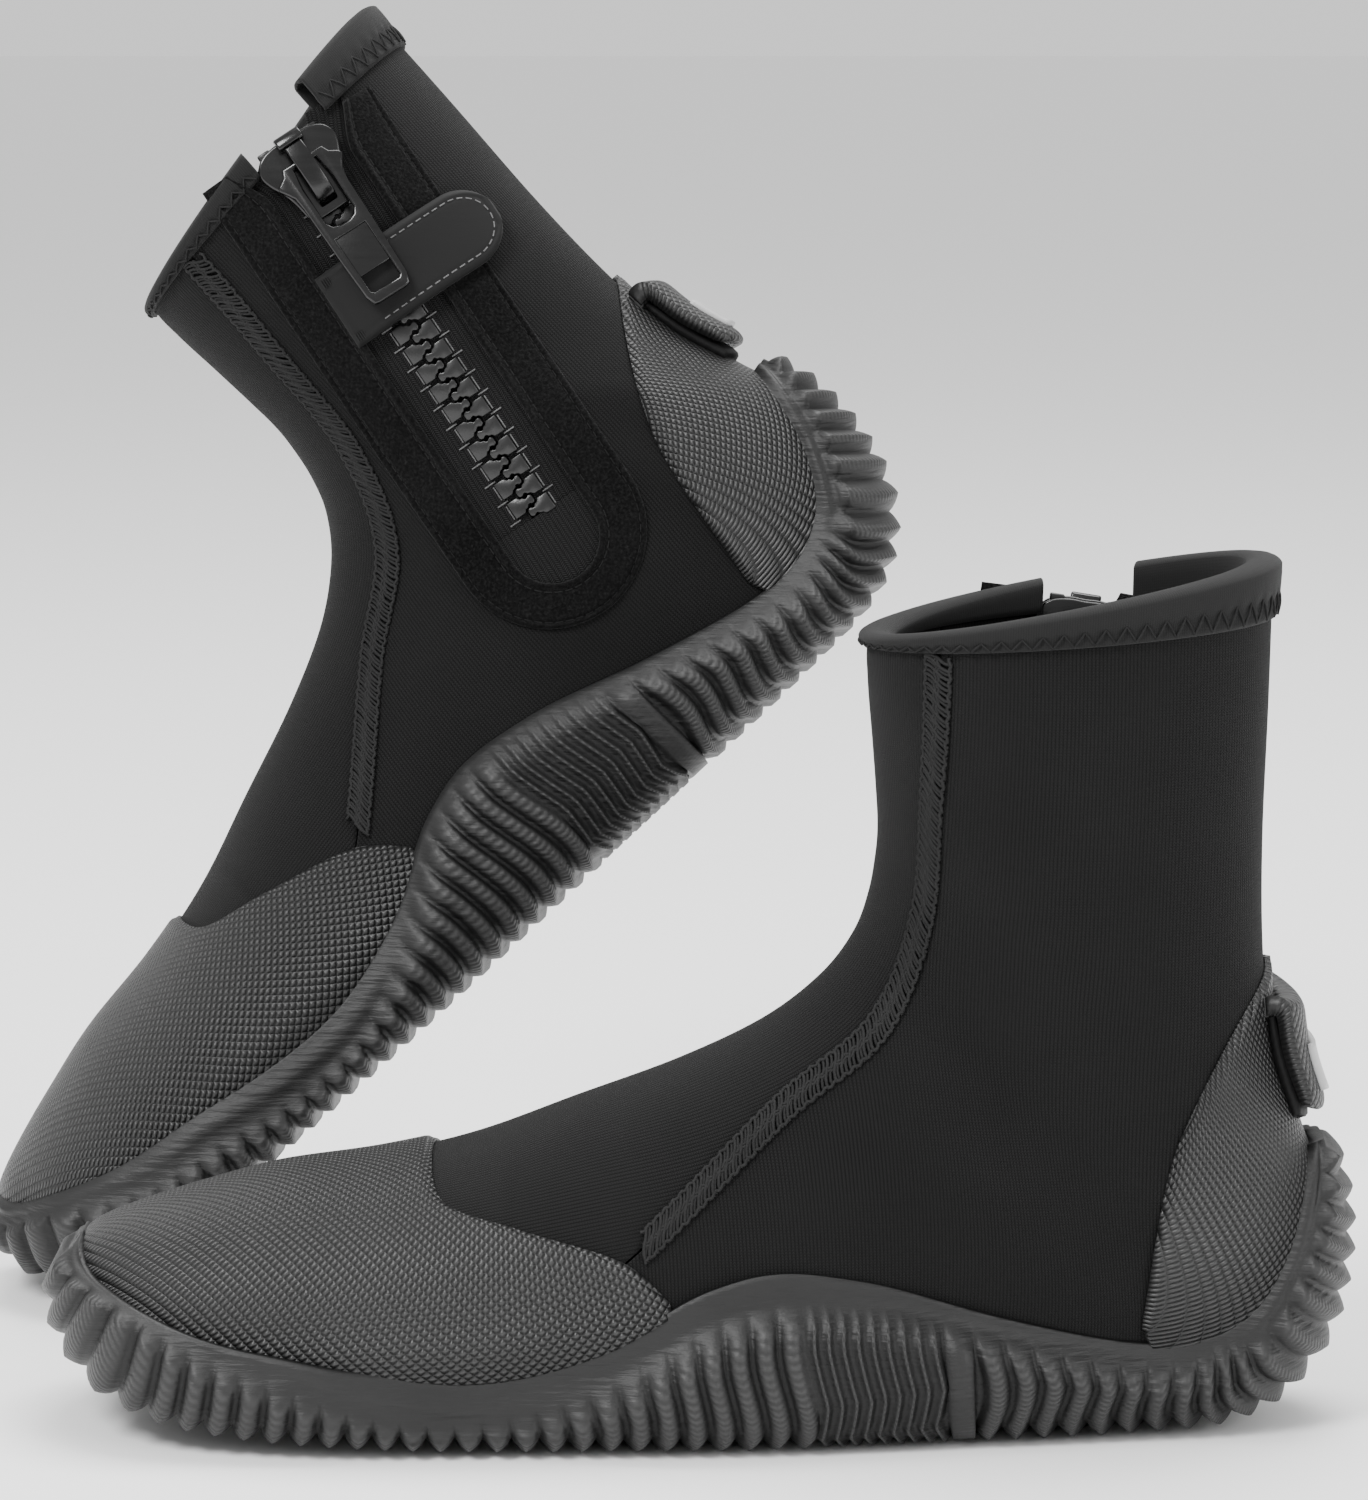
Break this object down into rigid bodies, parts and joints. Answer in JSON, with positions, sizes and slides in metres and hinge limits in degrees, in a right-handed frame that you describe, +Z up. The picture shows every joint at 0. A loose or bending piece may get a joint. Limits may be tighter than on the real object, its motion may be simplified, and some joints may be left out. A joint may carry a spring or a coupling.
{
  "type": "neoprene boot pair",
  "caption": "Pair of ankle-high neoprene water-sports boots with side zips, lock straps, heel fin-strap keepers and ribbed rubber cup soles.",
  "frame": {"origin": "on the ground, under the middle of the pair's box", "axes": "+Z up, +X from toe to heel of the left boot, +Y from the left boot towards the right one"},
  "size_m": [0.3268, 0.2552, 0.3181],
  "materials": {
    "sole_rubber": "satin moulded ribs",
    "sock_board": "stitched neoprene sole",
    "insole_cloth": "flat cloth",
    "cap_rubber": "raised diamond texture",
    "keeper_rubber": "fine moulded grain",
    "tag_plastic": "plain satin strip",
    "neoprene": "fine knit face",
    "collar_tape": "smooth folded tape",
    "seam_thread": "flatlock thread",
    "zip_plush": "short plush",
    "zip_tape": "woven rib",
    "zip_resin": "moulded",
    "slider_metal": "dark gunmetal",
    "strap_cloth": "smooth laminated cloth",
    "hook_cloth": "hook tape"
  },
  "bodies": {
    "left_boot": {"left_outsole": "sole_rubber", "left_lasting_sock": "sock_board", "left_insole": "insole_cloth", "left_toe_cap": "cap_rubber", "left_heel_cap": "cap_rubber", "left_fin_strap_keeper": "keeper_rubber", "left_keeper_tag": "tag_plastic", "left_vamp": "neoprene", "left_lateral_quarter": "neoprene", "left_medial_quarter": "neoprene", "left_collar_binding": "collar_tape", "left_lateral_seam": "seam_thread", "left_medial_seam": "seam_thread", "left_zip_facing": "zip_plush", "left_zip_tape_front": "zip_tape", "left_zip_tape_rear": "zip_tape", "left_zip_teeth_front": "zip_resin", "left_zip_teeth_rear": "zip_resin", "left_zip_top_stop_front": "zip_resin", "left_zip_top_stop_rear": "zip_resin", "left_zip_bottom_stop": "zip_resin", "left_zip_end_patch": "zip_tape"},
    "left_zip_slider": {"left_slider_body": "slider_metal"},
    "left_zip_pull": {"left_pull_tab": "slider_metal"},
    "left_zip_strap": {"left_lock_strap": "strap_cloth", "left_strap_hook_patch": "hook_cloth"},
    "right_boot": {"right_outsole": "sole_rubber", "right_lasting_sock": "sock_board", "right_insole": "insole_cloth", "right_toe_cap": "cap_rubber", "right_heel_cap": "cap_rubber", "right_fin_strap_keeper": "keeper_rubber", "right_keeper_tag": "tag_plastic", "right_vamp": "neoprene", "right_lateral_quarter": "neoprene", "right_medial_quarter": "neoprene", "right_collar_binding": "collar_tape", "right_lateral_seam": "seam_thread", "right_medial_seam": "seam_thread", "right_zip_facing": "zip_plush", "right_zip_tape_front": "zip_tape", "right_zip_tape_rear": "zip_tape", "right_zip_teeth_front": "zip_resin", "right_zip_teeth_rear": "zip_resin", "right_zip_top_stop_front": "zip_resin", "right_zip_top_stop_rear": "zip_resin", "right_zip_bottom_stop": "zip_resin", "right_zip_end_patch": "zip_tape"},
    "right_zip_slider": {"right_slider_body": "slider_metal"},
    "right_zip_pull": {"right_pull_tab": "slider_metal"},
    "right_zip_strap": {"right_lock_strap": "strap_cloth", "right_strap_hook_patch": "hook_cloth"}
  },
  "joints": [
    {"name": "right_boot_tip", "type": "hinge", "parent": "left_boot", "child": "right_boot", "pos_m": [-0.12002, 0.0399, -0.01213], "axis": [0.1935, 0.9736, -0.1209], "range_deg": [0, 43.73]},
    {"name": "left_zip_slide", "type": "slide", "parent": "left_boot", "child": "left_zip_slider", "axis": [-0.1511, -0.0402, -0.9877], "range_m": [0, 0.084], "deforming": ["left_zip_teeth_front", "left_zip_teeth_rear", "left_zip_tape_front", "left_zip_tape_rear"]},
    {"name": "left_pull_flip", "type": "hinge", "parent": "left_zip_slider", "child": "left_zip_pull", "pos_m": [0.10255, -0.04168, 0.17668], "axis": [0.9835, -0.0822, -0.1614], "range_deg": [0, 150]},
    {"name": "left_strap_lift", "type": "hinge", "parent": "left_boot", "child": "left_zip_strap", "pos_m": [0.08515, -0.04454, 0.14357], "axis": [0.1676, 0.0798, 0.9826], "range_deg": [0, 165], "deforming": ["left_lock_strap", "left_strap_hook_patch"]},
    {"name": "right_zip_slide", "type": "slide", "parent": "right_boot", "child": "right_zip_slider", "axis": [0.5591, -0.0808, -0.8251], "range_m": [0, 0.084], "deforming": ["right_zip_teeth_front", "right_zip_teeth_rear", "right_zip_tape_front", "right_zip_tape_rear"]},
    {"name": "right_pull_flip", "type": "hinge", "parent": "right_zip_slider", "child": "right_zip_pull", "pos_m": [-0.08309, 0.0511, 0.28068], "axis": [-0.828, -0.1983, -0.5245], "range_deg": [0, 150]},
    {"name": "right_strap_lift", "type": "hinge", "parent": "right_boot", "child": "right_zip_strap", "pos_m": [-0.07344, 0.04821, 0.24455], "axis": [0.5423, -0.0435, -0.839], "range_deg": [0, 165], "deforming": ["right_lock_strap", "right_strap_hook_patch"]}
  ]
}
